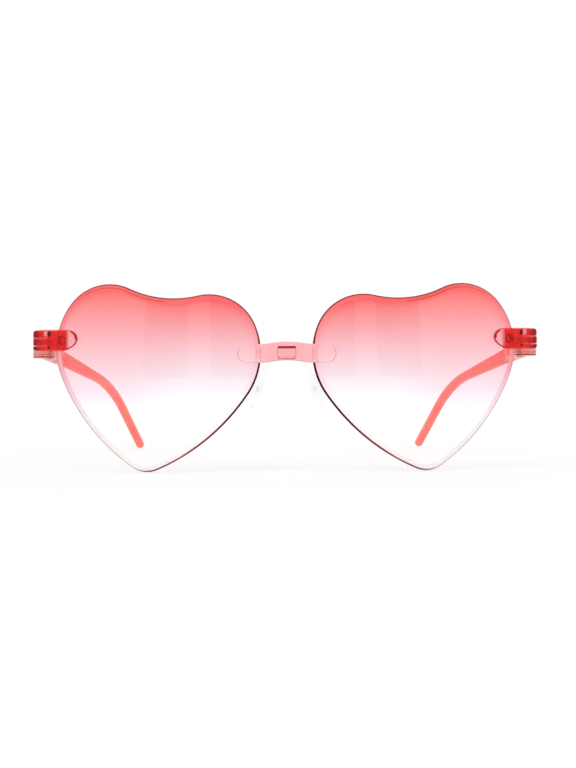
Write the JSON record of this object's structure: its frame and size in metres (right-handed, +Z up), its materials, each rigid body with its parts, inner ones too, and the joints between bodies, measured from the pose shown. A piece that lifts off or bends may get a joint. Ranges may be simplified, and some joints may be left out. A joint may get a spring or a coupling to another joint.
{
  "type": "heart shaped sunglasses",
  "caption": "Rimless sunglasses with heart shaped gradient lenses, a clear bridge with nose pads, pinned end pieces and slim bent temples that fold on hinges.",
  "frame": {"origin": "middle of the bounding box at its bottom, on the surface the open glasses stand on", "axes": "+X towards the wearer's left, across the front; +Y from the lenses to the temple tips; +Z up"},
  "size_m": [0.1538, 0.1433, 0.056],
  "materials": {
    "lens_tint": "polished, tinted pink at the top and fading to clear",
    "pink_plastic": "polished transparent",
    "red_plastic": "polished transparent",
    "coral_plastic": "polished translucent",
    "clear_plastic": "polished clear",
    "clear_silicone": "smooth clear",
    "screw_steel": "plain"
  },
  "bodies": {
    "front": {"bridge": "pink_plastic", "nose_bracket": "clear_plastic", "left_lens": "lens_tint", "left_nose_pad": "clear_silicone", "left_end_piece": "red_plastic", "left_lens_pin": "red_plastic", "right_lens": "lens_tint", "right_nose_pad": "clear_silicone", "right_end_piece": "red_plastic", "right_lens_pin": "red_plastic"},
    "left_side": {"left_temple": "coral_plastic", "left_hinge_screw": "screw_steel"},
    "right_side": {"right_temple": "coral_plastic", "right_hinge_screw": "screw_steel"}
  },
  "joints": [
    {"name": "left_fold", "type": "hinge", "parent": "front", "child": "left_side", "pos_m": [0.07214, -0.05532, 0.03833], "axis": [0, 0, 1], "range_deg": [0, 80]},
    {"name": "right_fold", "type": "hinge", "parent": "front", "child": "right_side", "pos_m": [-0.07214, -0.05532, 0.03833], "axis": [0, 0, -1], "range_deg": [0, 75]}
  ]
}
